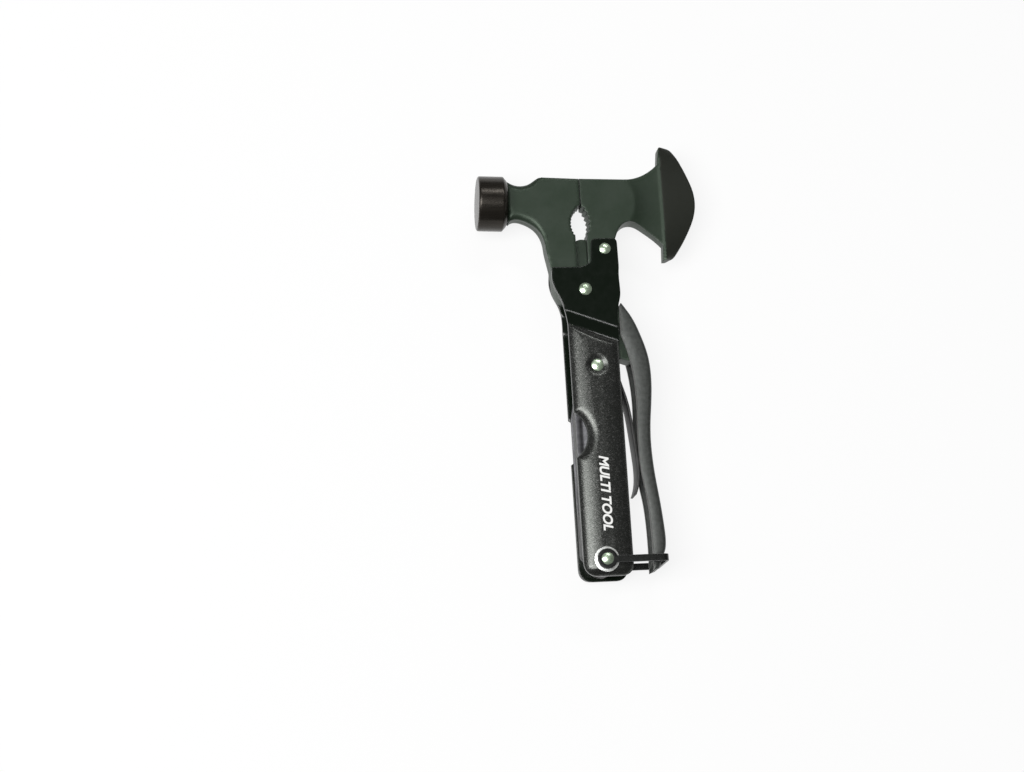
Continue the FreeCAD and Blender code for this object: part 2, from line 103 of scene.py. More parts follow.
def triangles(node):
    """Corners of the node's triangles, as an array of faces by corners by x, y, z."""
    mesh = frame["nodes"][node].data
    mesh.calc_loop_triangles()
    points = np.empty(len(mesh.vertices) * 3)
    mesh.vertices.foreach_get("co", points)
    corners = np.empty(len(mesh.loop_triangles) * 3, np.int32)
    mesh.loop_triangles.foreach_get("vertices", corners)
    return points.reshape(-1, 3)[corners].reshape(-1, 3, 3) / MM


def resample(loop, step, sharp=25.0, smoothing=6):
    """Even points along a closed outline. Corners stay; between them each point moves half way to
    the mean of its neighbours a few times, which takes the facets out of a curve."""
    ahead = np.roll(loop, -1, axis=0) - loop
    turn = np.degrees(np.arctan2(ahead[:, 1], ahead[:, 0]))
    turn = np.abs((turn - np.roll(turn, 1) + 180) % 360 - 180)
    loop = np.roll(loop, -int(np.argmax(turn)), axis=0)
    turn = np.roll(turn, -int(np.argmax(turn)))
    closed = np.vstack([loop, loop[:1]])
    along = np.concatenate([[0.0], np.cumsum(np.linalg.norm(np.diff(closed, axis=0), axis=1))])
    fixed = along[:-1][turn > sharp]
    even = np.arange(0.0, along[-1] - step * 0.4, step)
    near = np.abs(even[:, None] - np.append(fixed, along[-1])[None, :]).min(1) < step * 0.45
    places = np.sort(np.concatenate([fixed, even[~near]]))
    points = np.column_stack([np.interp(places, along, closed[:, k]) for k in (0, 1)])
    free = ~np.isin(places, fixed)
    for _ in range(smoothing):
        mean = (np.roll(points, 1, axis=0) + np.roll(points, -1, axis=0)) / 2
        points[free] += (mean[free] - points[free]) / 2
    return points


def chains(starts, ends):
    """Runs from start to end, joined up into closed chains of starts."""
    following = dict(zip(starts.tolist(), ends.tolist()))
    found = []
    while following:
        first, here = following.popitem()
        chain = [first]
        while here != first and here in following:
            chain.append(here)
            here = following.pop(here)
        if here == first and len(chain) > 2:
            found.append(chain)
    return found


def outlines(node, keep, step=0.5):
    """Outlines of the faces for which keep(centre, normal) is true, with material on the left."""
    corners = triangles(node)
    normal = np.cross(corners[:, 1] - corners[:, 0], corners[:, 2] - corners[:, 0])
    normal /= np.linalg.norm(normal, axis=1)[:, None] + 1e-12
    chosen = corners[keep(corners.mean(1), normal)]
    flat = np.round(chosen.reshape(-1, 3) * 1000).astype(np.int64)
    spots, index = np.unique(flat, axis=0, return_inverse=True)
    index = index.reshape(-1, 3)
    runs = np.concatenate([index[:, [0, 1]], index[:, [1, 2]], index[:, [2, 0]]])
    runs = runs[runs[:, 0] != runs[:, 1]]
    _, first, count = np.unique(np.sort(runs, axis=1), axis=0, return_index=True, return_counts=True)
    lone = runs[first[count == 1]]
    return [resample(spots[chain][:, :2] / 1000, step) for chain in chains(lone[:, 0], lone[:, 1])]


def section(node, height, step=0.5):
    """Outlines of the node's cut at a height, with material on the left. Each triangle that the
    plane crosses gives one run, and runs meet where they share a triangle edge."""
    corners = triangles(node)
    flat = np.round(corners.reshape(-1, 3) * 1e4).astype(np.int64)
    spots, index = np.unique(flat, axis=0, return_inverse=True)
    index = index.reshape(-1, 3)
    points = spots / 1e4
    above = points[index][:, :, 2] > height
    mixed = (above.sum(1) == 1) | (above.sum(1) == 2)
    index, above = index[mixed], above[mixed]
    odd = np.where(above.sum(1) == 1, above.argmax(1), (~above).argmax(1))
    rows = np.arange(len(index))
    lone = index[rows, odd]
    ends = []
    for k in (1, 2):
        other = index[rows, (odd + k) % 3]
        a, b = points[lone], points[other]
        share = ((height - a[:, 2]) / (b[:, 2] - a[:, 2]))[:, None]
        key = np.minimum(lone, other) * len(points) + np.maximum(lone, other)
        ends.append((key, (a + (b - a) * share)[:, :2]))
    normal = np.cross(points[index[:, 1]] - points[index[:, 0]], points[index[:, 2]] - points[index[:, 0]])
    along = ends[1][1] - ends[0][1]
    forward = along[:, 0] * -normal[:, 1] + along[:, 1] * normal[:, 0] > 0
    start = np.where(forward, ends[0][0], ends[1][0])
    end = np.where(forward, ends[1][0], ends[0][0])
    where = dict(zip(start.tolist(), np.where(forward[:, None], ends[0][1], ends[1][1]).tolist()))
    return [resample(np.array([where[key] for key in chain]), step) for chain in chains(start, end)]


# %% [markdown]
# ## A slab with rounded edges
# A stamped sheet, a forged jaw and a knife blade are all the same thing to a mesher: a flat region
# with a height above every point of it. The region is filled with triangles by a Delaunay
# triangulation, and the height comes from a function of the place and of the distance to the nearest
# edge, so a rounded edge, a ground bevel and a dished recess are all just heights.


# %% Distances and triangles in the plane
def ends_of(loops):
    """Start and end point of every edge of the outlines."""
    starts = np.vstack(loops)
    ends = np.vstack([np.roll(loop, -1, axis=0) for loop in loops])
    return starts, ends


def edge_distance(points, loops):
    """Distance from each point to the nearest outline edge, worked out in blocks of points."""
    starts, ends = ends_of(loops)
    run = ends - starts
    length2 = (run ** 2).sum(1)
    result = np.empty(len(points))
    for low in range(0, len(points), 2000):
        block = points[low:low + 2000, None, :]
        share = np.clip(((block - starts) * run).sum(2) / length2, 0, 1)
        foot = starts + share[:, :, None] * run
        result[low:low + 2000] = np.sqrt(((block - foot) ** 2).sum(2).min(1))
    return result


def inside(points, loops):
    """True where a point is in the material: a ray to the right crosses an odd number of edges."""
    starts, ends = ends_of(loops)
    result = np.empty(len(points), bool)
    rise = ends[:, 1] - starts[:, 1]
    rise = np.where(np.abs(rise) < 1e-12, 1e-12, rise)
    for low in range(0, len(points), 2000):
        x, y = points[low:low + 2000, 0, None], points[low:low + 2000, 1, None]
        spans = (starts[:, 1] > y) != (ends[:, 1] > y)
        cross_x = starts[:, 0] + (y - starts[:, 1]) / rise * (ends[:, 0] - starts[:, 0])
        result[low:low + 2000] = (spans & (x < cross_x)).sum(1) % 2 == 1
    return result


def inward(loops):
    """Unit direction into the material at every outline point."""
    result = []
    for loop in loops:
        run = np.roll(loop, -1, axis=0) - np.roll(loop, 1, axis=0)
        run /= np.linalg.norm(run, axis=1)[:, None]
        result.append(np.column_stack([-run[:, 1], run[:, 0]]))
    return np.vstack(result)


def slab(loops, top, bottom, edge=0.3, spacing=1.2, insets=()):
    """Closed plate over a flat region. top and bottom are heights or functions of x, y and the
    distance d to the edge. Near the edge both faces fall away along a quarter circle:
    drop = edge - sqrt(edge^2 - (edge - d)^2)."""
    loops = [loop[np.linalg.norm(np.roll(loop, -1, axis=0) - loop, axis=1) > 1e-6] for loop in loops]
    rim = np.vstack(loops)
    steps = edge * (1 - np.cos(np.radians([22.5, 45.0, 67.5, 90.0])))
    rings = []
    for inset in list(steps) + list(insets):
        ring = rim + inward(loops) * inset
        rings.append(ring[(edge_distance(ring, loops) > inset * 0.97) & inside(ring, loops)])
    low, high = rim.min(0), rim.max(0)
    rows = np.arange(low[1], high[1], spacing * 0.87)
    columns = np.arange(low[0], high[0], spacing)
    grid = np.stack(np.meshgrid(columns, rows), axis=-1)
    grid[1::2, :, 0] += spacing / 2
    grid = grid.reshape(-1, 2)
    grid = grid[inside(grid, loops)]
    clear = max([edge] + list(insets)) + spacing * 0.5
    grid = grid[edge_distance(grid, loops) > clear]
    flat = np.vstack([rim] + rings + [grid])
    start, links = 0, []
    for loop in loops:
        links += [(start + i, start + (i + 1) % len(loop)) for i in range(len(loop))]
        start += len(loop)
    given = [Vector(p) for p in flat]
    spots, _, faces, origin, _, _ = geometry.delaunay_2d_cdt(given, links, [], 0, 1e-7)
    place = np.full(len(flat), -1)                # where each given point ended up
    place[[i for o in origin for i in o]] = np.repeat(np.arange(len(origin)), [len(o) for o in origin])
    faces = np.array([f for f in faces if len(f) == 3])
    spots = np.array([tuple(s) for s in spots])
    faces = faces[inside(spots[faces].mean(1), loops)]
    d = edge_distance(spots, loops)
    d[place[:len(rim)]] = 0.0
    drop = np.where(d < edge, edge - np.sqrt(np.clip(edge ** 2 - (edge - d) ** 2, 0, None)), 0.0)
    x, y = spots.T
    over = (top(x, y, d) if callable(top) else np.full(len(x), float(top))) - drop
    below = (bottom(x, y, d) if callable(bottom) else np.full(len(x), float(bottom))) + drop
    thin = over < below
    over[thin] = below[thin] = (over[thin] + below[thin]) / 2
    n = len(spots)
    verts = np.vstack([np.column_stack([x, y, over]), np.column_stack([x, y, below])])
    a, b = place[np.array(links)].T
    area = np.cross(spots[faces[:, 1]] - spots[faces[:, 0]], spots[faces[:, 2]] - spots[faces[:, 0]])
    faces[area < 0] = faces[area < 0][:, ::-1]
    # the wall gets two more rows of points, so that wear can stay at its upper and lower border
    fold = 0.3 * (over - below)[place[:len(rim)]]
    wall = verts[place[:len(rim)]]
    verts = np.vstack([verts, wall - np.column_stack([fold * 0, fold * 0, fold]),
                       np.column_stack([wall[:, :2], below[place[:len(rim)]] + fold])])
    first, second = np.array(links).T
    rows = [(b, a), (second + 2 * n, first + 2 * n), (second + 2 * n + len(rim), first + 2 * n + len(rim)),
            (b + n, a + n)]
    bands = zip(rows, rows[1:])
    quads = [np.column_stack([upper[0], upper[1], lower[1], lower[0]]) for upper, lower in bands]
    distance = np.concatenate([d, d, np.ones(2 * len(rim))])
    return verts, faces.tolist() + (faces[:, ::-1] + n).tolist() + np.vstack(quads).tolist(), distance


# %% [markdown]
# ## A turned piece and a strap
# Rivets, washers and the hammer are turned: a profile goes once round an axis. The latch is a strap
# and the lever a pressed channel: a closed section is carried along a path.


# %% Grids that wrap round
def wrap_faces(rows, columns, close_rows=False):
    """Quads of a grid of rows by columns whose columns wrap round."""
    i = np.arange(rows if close_rows else rows - 1)[:, None]
    j = np.arange(columns)[None, :]
    k, m = (i + 1) % rows, (j + 1) % columns
    quads = np.stack([i * columns + j, i * columns + m, k * columns + m, k * columns + j], axis=-1)
    return quads.reshape(-1, 4).tolist()


def turned(profile, centre, axis=(0, 0, 1), around=72):
    """Surface of revolution: every (along, radius) of the profile becomes a circle,
    centre + axis * along + radius * (side * cos a + other * sin a)."""
    axis = np.array(axis, float) / np.linalg.norm(axis)
    side = np.cross(axis, (0.0, 1.0, 0.0))
    side /= np.linalg.norm(side)
    other = np.cross(axis, side)
    along, radius = np.array(profile, float).T
    angle = np.linspace(0, 2 * np.pi, around, endpoint=False)
    circle = np.cos(angle)[:, None] * side + np.sin(angle)[:, None] * other
    verts = np.asarray(centre) + axis * along[:, None, None] + radius[:, None, None] * circle[None]
    ring = math.dist(profile[0], profile[-1]) < 1e-9
    rows = len(profile) - 1 if ring else len(profile)
    verts = verts[:rows].reshape(-1, 3)
    return verts, wrap_faces(rows, around, ring), np.ones(len(verts))


def carried(path, normal, section):
    """Section points (out, across) carried along a path: path + normal * out + direction * across.
    path and normal are arrays of the same length, and the two ends are capped."""
    out, across, direction = section
    verts = path[:, None, :] + normal[:, None, :] * out[..., None] + np.asarray(direction) * across[..., None]
    rows, columns = verts.shape[:2]
    faces = wrap_faces(rows, columns)
    faces += [list(range(columns))[::-1], list(range((rows - 1) * columns, rows * columns))]
    return verts.reshape(-1, 3), faces, np.ones(rows * columns)


def round_corners(points, radius, steps):
    """Closed section with each corner replaced by an arc tangent to both sides."""
    points = np.array(points, float)
    result = []
    for before, here, after in zip(np.roll(points, 1, axis=0), points, np.roll(points, -1, axis=0)):
        a, b = before - here, after - here
        a, b = a / np.linalg.norm(a), b / np.linalg.norm(b)
        half = math.acos(float(np.clip(a @ b, -1, 1))) / 2
        reach = 0.49 * min(np.linalg.norm(before - here), np.linalg.norm(after - here))
        cut = min(radius / math.tan(half), reach)
        r = cut * math.tan(half)
        centre = here + (a + b) / np.linalg.norm(a + b) * r / math.sin(half)
        start, end = here + a * cut - centre, here + b * cut - centre
        turn = math.atan2(start[0] * end[1] - start[1] * end[0], float(start @ end))
        for t in np.linspace(0, turn, steps):
            c, s = math.cos(t), math.sin(t)
            result.append(centre + (start[0] * c - start[1] * s, start[0] * s + start[1] * c))
    return np.array(result)


# %% [markdown]
# ## From arrays to a piece
# A piece may be several closed shells. Its object stays at the origin, unturned, and it rides on the
# body of the CAD node that it stands for. The distance to the edge is kept as an attribute, because
# paint and oxide wear through at edges first and a material can read it.


# %% Make a piece
MATERIALS = {}
MADE = []
SHARP_TURN = math.radians(38.0)      # faces that meet at more than this keep a crisp line


def make_piece(name, shells, node, material=None, shown=True):
    """Mesh object from shells of vertices, faces and edge distances, in place of a CAD node."""
    verts = np.vstack([shell[0] for shell in shells]) * MM
    faces, offset = [], 0
    for shell in shells:
        faces += [[i + offset for i in face] for face in shell[1]]
        offset += len(shell[0])
    mesh = bpy.data.meshes.new(name)
    mesh.from_pydata(verts.tolist(), [], faces)
    distance = mesh.attributes.new("edge", "FLOAT", "POINT")
    distance.data.foreach_set("value", np.concatenate([shell[2] for shell in shells]).astype(np.float32))
    mesh.validate()
    bm = bmesh.new()
    bm.from_mesh(mesh)
    bmesh.ops.remove_doubles(bm, verts=bm.verts, dist=1e-6)
    bmesh.ops.recalc_face_normals(bm, faces=bm.faces)
    bm.to_mesh(mesh)
    bm.free()
    mesh.shade_smooth()
    mesh.set_sharp_from_angle(angle=SHARP_TURN)
    piece = bpy.data.objects.new(name, mesh)
    bpy.context.scene.collection.objects.link(piece)
    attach(piece, body_of(frame["nodes"][node])[0])
    mesh.materials.append(MATERIALS[material or SLOT_OF[node]])
    if shown:
        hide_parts(node)
    MADE.append(piece)
    print(f"{name}: {len(mesh.vertices)} points, {len(mesh.polygons)} faces")


# %% [markdown]
# ## Finishes
# Each finish is a small node graph on Object coordinates, in metres, so a scale of 1000 is a
# pattern of about a millimetre.


# %% Node helpers
def new_material(name, base, rough, metal=0.0, **sockets):
    """Material with a Principled shader; uniform values go straight on its sockets."""
    material = bpy.data.materials.new(name)
    material.use_nodes = True
    shader = material.node_tree.nodes["Principled BSDF"]
    shader.inputs["Base Color"].default_value = (*base, 1)
    shader.inputs["Roughness"].default_value = rough
    shader.inputs["Metallic"].default_value = metal
    for key, value in sockets.items():
        shader.inputs[key.replace("_", " ")].default_value = value
    MATERIALS[name] = material
    return material.node_tree, shader


def node(tree, kind, inputs=None, **settings):
    """New node. An input is linked when its value is a socket, and set when it is a number."""
    made = tree.nodes.new(kind)
    for key, value in settings.items():
        setattr(made, key, value)
    for key, value in (inputs or {}).items():
        if isinstance(value, bpy.types.NodeSocket):
            tree.links.new(value, made.inputs[key])
        else:
            made.inputs[key].default_value = value
    return made


def place(tree, stretch=(1, 1, 1)):
    """Object coordinates, stretched to give a grain a direction."""
    where = node(tree, "ShaderNodeTexCoord").outputs["Object"]
    return node(tree, "ShaderNodeMapping", {"Vector": where, "Scale": stretch}).outputs["Vector"]


def noise(tree, scale, where, detail=4.0, rough=0.55):
    return node(tree, "ShaderNodeTexNoise", {"Vector": where, "Scale": scale, "Detail": detail,
                                             "Roughness": rough}).outputs["Fac"]


def ramp(tree, value, stops):
    """Colour ramp; stops are (position, colour or grey)."""
    made = node(tree, "ShaderNodeValToRGB", {"Fac": value})
    elements = made.color_ramp.elements
    while len(elements) < len(stops):
        elements.new(0.5)
    for element, (position, colour) in zip(elements, stops):
        element.position = position
        element.color = (*colour, 1) if hasattr(colour, "__len__") else (colour, colour, colour, 1)
    return made.outputs["Color"]


def mix(tree, share, a, b):
    """Colour a where share is 0, colour b where it is 1, and a straight blend between."""
    made = node(tree, "ShaderNodeMix", data_type="RGBA")
    for socket, value in ((made.inputs[0], share), (made.inputs[6], a), (made.inputs[7], b)):
        if isinstance(value, bpy.types.NodeSocket):
            tree.links.new(value, socket)
        elif hasattr(value, "__len__"):
            socket.default_value = (*value, 1)
        else:
            socket.default_value = value
    return made.outputs[2]


def spread(tree, value, low, high):
    """The value's 0 to 1 taken to low to high."""
    return node(tree, "ShaderNodeMapRange", {"Value": value, "To Min": low, "To Max": high}).outputs["Result"]


def bump(tree, shader, height, strength, distance):
    made = node(tree, "ShaderNodeBump", {"Height": height, "Strength": strength, "Distance": distance})
    tree.links.new(made.outputs["Normal"], shader.inputs["Normal"])


def worn_edge(tree, reach, where, scale=1500.0):
    """1 at the very edge and 0 inside, broken up by noise; reach is in millimetres."""
    edge = node(tree, "ShaderNodeAttribute", attribute_name="edge", attribute_type="GEOMETRY").outputs["Fac"]
    broken = node(tree, "ShaderNodeMath", {0: noise(tree, scale, where), 1: reach}, operation="MULTIPLY")
    fade = {"Value": edge, "From Min": 0.0, "From Max": broken.outputs[0], "To Min": 1.0, "To Max": 0.0}
    return node(tree, "ShaderNodeMapRange", fade, clamp=True).outputs["Result"]


# %% Oxide on the forged head
GROUND_FROM, GROUND_BLEND = 34.9, 0.4      # mm from the pivot to the axe bevel, and the width of its border


def head_oxide():
    """Cloudy black oxide with a green tint that is a painted reflection of green surroundings, browner where
    the axe bevel was ground and paler at worn edges.
    """
    tree, shader = new_material("head_steel", (0.03, 0.042, 0.033), 0.42, 0.5)
    where = place(tree)
    cloud = noise(tree, 90, where, 5)
    fine = noise(tree, 2600, where, 3)
    # the green in these colours is a painted reflection of green surroundings
    colour = ramp(tree, cloud, [(0.3, (0.018, 0.034, 0.018)), (0.7, (0.034, 0.05, 0.034))])
    colour = mix(tree, spread(tree, fine, 0.0, 0.35), colour, (0.045, 0.057, 0.046))
    across = node(tree, "ShaderNodeSeparateXYZ", {"Vector": where}).outputs["X"]
    start = (PIVOT[0] + GROUND_FROM) * MM
    border = {"Value": across, "From Min": start, "From Max": start + GROUND_BLEND * MM}
    ground = node(tree, "ShaderNodeMapRange", border, clamp=True).outputs["Result"]
    colour = mix(tree, ground, colour, (0.03, 0.033, 0.026))
    colour = mix(tree, worn_edge(tree, 0.5, where), colour, (0.11, 0.12, 0.11))
    tree.links.new(colour, shader.inputs["Base Color"])
    tree.links.new(spread(tree, noise(tree, 500, where), 0.36, 0.52), shader.inputs["Roughness"])
    bump(tree, shader, fine, 0.25, 0.00004)


head_oxide()


# %% Enamel, speckled paint and the plain finishes
def liner_enamel():
    """Glossy black with a green tint that is a painted reflection of green surroundings, a little uneven,
    with pale lines where an edge has worn.
    """
    tree, shader = new_material("liner_black", (0.002, 0.005, 0.002), 0.2)
    where = place(tree)
    # the green in this black is a painted reflection of green surroundings
    colour = mix(tree, worn_edge(tree, 0.3, where), (0.002, 0.005, 0.002), (0.07, 0.075, 0.07))
    tree.links.new(colour, shader.inputs["Base Color"])
    tree.links.new(spread(tree, noise(tree, 300, where), 0.13, 0.26), shader.inputs["Roughness"])
    bump(tree, shader, noise(tree, 700, where, 2), 0.12, 0.00008)


def scale_speckle():
    """Dark metallic paint: a fine grain, and brighter flakes in about a fifth of the small cells."""
    tree, shader = new_material("scale_paint", (0.05, 0.053, 0.05), 0.34, 0.85)
    where = place(tree)
    grains = noise(tree, 3600, where, 2)
    flakes = node(tree, "ShaderNodeTexVoronoi", {"Vector": where, "Scale": 3000.0}).outputs["Color"]
    flake = node(tree, "ShaderNodeSeparateColor", {"Color": flakes}).outputs["Red"]
    colour = ramp(tree, grains, [(0.3, (0.04, 0.043, 0.039)), (0.7, (0.085, 0.088, 0.083))])
    glint = ramp(tree, flake, [(0.0, 0.0), (0.78, 0.0), (0.95, 0.5), (1.0, 0.7)])
    colour = mix(tree, glint, colour, (0.17, 0.17, 0.165))
    tree.links.new(colour, shader.inputs["Base Color"])
    tree.links.new(spread(tree, flake, 0.22, 0.36), shader.inputs["Roughness"])
    bump(tree, shader, grains, 0.22, 0.00008)


def satin(name, base, rough, metal, grain=(1, 1, 1), worn=(0.3, 0.3, 0.29)):
    """Even finish whose colour goes from 0.75 to 1.3 times the base and whose gloss varies a little."""
    tree, shader = new_material(name, base, rough, metal)
    where = place(tree, grain)
    cloud = noise(tree, 600, where, 4)
    dark, light = [tuple(c * f for c in base) for f in (0.75, 1.3)]
    colour = ramp(tree, cloud, [(0.3, dark), (0.7, light)])
    colour = mix(tree, worn_edge(tree, 0.4, where), colour, worn)
    tree.links.new(colour, shader.inputs["Base Color"])
    gloss = spread(tree, noise(tree, 1400, where), rough * 0.8, rough * 1.25)
    tree.links.new(gloss, shader.inputs["Roughness"])
    bump(tree, shader, noise(tree, 3000, where, 2), 0.15, 0.00004)


def paint_shade_on_upright_faces(name, dark):
    """Painted shade: blend the base colour to a dark colour wherever the face stands upright, so the upright
    faces look shaded beside the faces that look up. The weight is one minus the size of the normal's Z,
    sharpened by a ramp."""
    tree = MATERIALS[name].node_tree
    base = tree.nodes["Principled BSDF"].inputs["Base Color"]
    ground = base.links[0].from_socket
    normal = node(tree, "ShaderNodeTexCoord").outputs["Normal"]
    up = node(tree, "ShaderNodeSeparateXYZ", {"Vector": normal}).outputs["Z"]
    steep = node(tree, "ShaderNodeMath", {0: up}, operation="ABSOLUTE").outputs[0]
    fade = {"Value": steep, "From Min": 0.3, "From Max": 0.7, "To Min": 1.0, "To Max": 0.0}
    # painted shade weight: 1 on upright faces, 0 on faces that look up
    upright = node(tree, "ShaderNodeMapRange", fade, clamp=True).outputs["Result"]
    tree.links.new(mix(tree, upright, ground, dark), base)


liner_enamel()
scale_speckle()
satin("hammer_steel", (0.03, 0.026, 0.021), 0.27, 0.7, (0.1, 1, 1), worn=(0.03, 0.026, 0.021))
satin("white_print", (0.82, 0.82, 0.8), 0.5, 0.0, worn=(0.82, 0.82, 0.8))
satin("lever_steel", (0.05, 0.054, 0.05), 0.42, 0.4)
satin("latch_black", (0.005, 0.006, 0.005), 0.28, 0.0, worn=(0.08, 0.08, 0.08))
# the rivets' green tint is a painted reflection of green surroundings on plain bright steel
satin("rivet_steel", (0.6, 0.74, 0.55), 0.28, 0.85, worn=(0.6, 0.74, 0.55))
satin("bright_washer", (0.85, 0.87, 0.84), 0.3, 0.8, worn=(0.85, 0.87, 0.84))
satin("plain_steel", (0.45, 0.45, 0.44), 0.35, 1.0)
satin("spring_steel", (0.013, 0.013, 0.012), 0.45, 0.2, (1, 0.15, 1), worn=(0.1, 0.1, 0.1))
satin("tool_steel", (0.1, 0.1, 0.105), 0.5, 1.0, (0.12, 1, 1), worn=(0.3, 0.3, 0.3))
# painted shade on the tools' upright faces
paint_shade_on_upright_faces("tool_steel", (0.05, 0.052, 0.05))
print("finishes:", ", ".join(sorted(MATERIALS)))


# %% [markdown]
# ## The forged head
# Both jaws are forged, then ground. The slab's height function does the work: the axe half is scooped
# behind the blade as by a large cutter, steps up at the blade's shoulder, and runs down as a wedge to
# the curved edge. The hammer half has a neck with well rounded edges, and the hammer is turned.
# Where the jaws lap at the pivot, each is only half as thick, so a second, thinner slab fills that half.

# %% Axe half
HEAD_HALF = 4.25
SHOULDER, SHOULDER_HALF, SCOOP_HALF, EDGE_HALF = 34.5, 3.0, 2.55, 0.2
SCOOP_START, SCOOP_BOW, SCOOP_MIDDLE, SCOOP_SPAN = 23.2, 4.3, 37.0, 11.0      # from the pivot
LAP_CUT, AXE_LAP, HAMMER_LAP = 2.0, 17.0, 15.0      # height of the lap's cut, and how far the laps reach


def cut_off(loops, limit, side):
    """What is left of the outlines at a line x = limit; side 1 keeps the right and -1 the left."""
    kept = []
    for here in loops:
        after = np.roll(here, -1, axis=0)
        stays, follows = (here[:, 0] - limit) * side >= 0, (after[:, 0] - limit) * side >= 0
        crosses = stays != follows
        run = np.where(crosses, after[:, 0] - here[:, 0], 1.0)
        crossing = here + (after - here) * ((limit - here[:, 0]) / run)[:, None]
        both = np.stack([here, crossing], axis=1).reshape(-1, 2)[np.stack([stays, crosses], axis=1).ravel()]
        if len(both) > 2:
            kept.append(both)
    return kept


def shrunk(loops, by=0.05):
    """The same outlines a little inside the material."""
    moved = np.vstack(loops) + inward(loops) * by
    return np.split(moved, np.cumsum([len(loop) for loop in loops])[:-1])


def smooth(t):
    """Soft step from 0 to 1: 3 t^2 - 2 t^3."""
    t = np.clip(t, 0, 1)
    return t * t * (3 - 2 * t)


axe_loops = section("axe_jaw", MID_Z + 0.05)
axe_rim = max(axe_loops, key=len)
cutting = axe_rim[axe_rim[:, 0] > PIVOT[0] + SHOULDER + 1.5]
cutting = cutting[np.argsort(cutting[:, 1])]


def axe_half(x, y, d):
    """Half thickness: flat, then a scoop 1 - (1 - t)^2 deep, a step at the shoulder, then a wedge."""
    x, y = x - PIVOT[0], y - PIVOT[1]
    scoop_start = SCOOP_START - SCOOP_BOW * ((y - SCOOP_MIDDLE) / SCOOP_SPAN) ** 2
    t = np.clip((x - scoop_start) / (SHOULDER - scoop_start), 0, 1)
    half = HEAD_HALF - (HEAD_HALF - SCOOP_HALF) * (1 - (1 - t) ** 2)
    half = half + (SHOULDER_HALF - SCOOP_HALF) * smooth((x - SHOULDER + 0.25) / 0.5)
    edge_x = np.interp(y, cutting[:, 1] - PIVOT[1], cutting[:, 0] - PIVOT[0])
    share = np.clip((x - SHOULDER - 0.4) / np.maximum(edge_x - SHOULDER - 0.4, 1.0), 0, 1)
    return np.where(x > SHOULDER + 0.4, SHOULDER_HALF + (EDGE_HALF - SHOULDER_HALF) * share ** 1.1, half)


axe_main = slab(axe_loops, lambda x, y, d: MID_Z + axe_half(x, y, d),
                lambda x, y, d: MID_Z - axe_half(x, y, d), edge=0.35, spacing=0.8)
axe_lap = slab(cut_off(shrunk(section("axe_jaw", MID_Z - LAP_CUT)), PIVOT[0] + AXE_LAP, -1), MID_Z - 0.1,
               MID_Z - HEAD_HALF + 0.08, edge=0.15)
make_piece("axe_head", [axe_main, axe_lap], "axe_jaw")

# %% Hammer half
HAMMER_RADIUS, HAMMER_LONG, HAMMER_TILT = 11.25, 12.0, math.radians(180 - 2.7)
HAMMER_BACK = PIVOT + (-29.7, 38.3, 0.0)
NECK_START, NECK_LONG, NECK_REACH = 13.0, 7.0, 8.3      # start and length of the rounding, half height
JAW_HALF = HEAD_HALF - 0.1


def neck_half(x, y, d):
    """Half thickness with edges that round off more and more towards the neck."""
    radius = 0.4 + 2.4 * smooth((PIVOT[0] - NECK_START - x) / NECK_LONG)
    inside_edge = np.minimum(d, radius)
    return JAW_HALF - 0.8 * (radius - np.sqrt(radius ** 2 - (radius - inside_edge) ** 2))


def hammer_profile():
    """(along, radius): chamfered back, straight wall, rounded striking edge, slightly crowned face."""
    r, long = HAMMER_RADIUS, HAMMER_LONG
    points = [(0.0, 0.0), (0.0, 6.0), (0.0, r - 1.9), (0.12, r - 1.68), (1.45, r - 0.12), (1.7, r)]
    points += [(t, r) for t in np.linspace(2.2, long - 1.4, 6)]
    turn = np.radians(np.linspace(10, 80, 6))
    points += [(long - 1.0 + 0.9 * math.sin(a), r - 0.9 + 0.9 * math.cos(a)) for a in turn]
    points += [(long - 0.12 * (k / 8.0) ** 2, k) for k in (9.4, 8, 6, 4, 2, 0)]
    return points


jaw_loops = cut_off(section("hammer_jaw", MID_Z - 0.05), HAMMER_BACK[0] - 0.6, 1)
for loop in jaw_loops:                             # what is inside the hammer stays inside its back face
    hidden = loop[:, 0] < HAMMER_BACK[0] + 0.05
    loop[hidden, 1] = np.clip(loop[hidden, 1], HAMMER_BACK[1] - NECK_REACH, HAMMER_BACK[1] + NECK_REACH)
jaw_main = slab(jaw_loops, lambda x, y, d: MID_Z + neck_half(x, y, d),
                lambda x, y, d: MID_Z - neck_half(x, y, d), edge=0.3, spacing=0.9)
jaw_lap = slab(cut_off(shrunk(section("hammer_jaw", MID_Z + LAP_CUT)), PIVOT[0] - HAMMER_LAP, 1),
               MID_Z + JAW_HALF - 0.06, MID_Z + 0.1, edge=0.15)
hammer = turned(hammer_profile(), HAMMER_BACK, (math.cos(HAMMER_TILT), math.sin(HAMMER_TILT), 0), around=144)
make_piece("hammer_and_jaw", [jaw_main, jaw_lap], "hammer_jaw")
make_piece("hammer_barrel", [hammer], "hammer_jaw", material="hammer_steel", shown=False)

# %% [markdown]
# ## Liners and scales
# A liner is one sheet. It lies flat on the jaws, steps out along a slanting ramp to make room for the
# folding tools, and runs flat again. The step is a height function of the distance down the handle.
# A scale is a pressed cover, so its edge is a soft shoulder and not a chamfer, and the rivet sits in
# a dish that was pressed with it.

# %% Liners
SHEET, STEP_RISE, RAMP_TURN = 1.5, 3.0, math.radians(-20.5)
RAMP_TOP, RAMP_LONG, BEND = -11.1, 6.0, 0.9


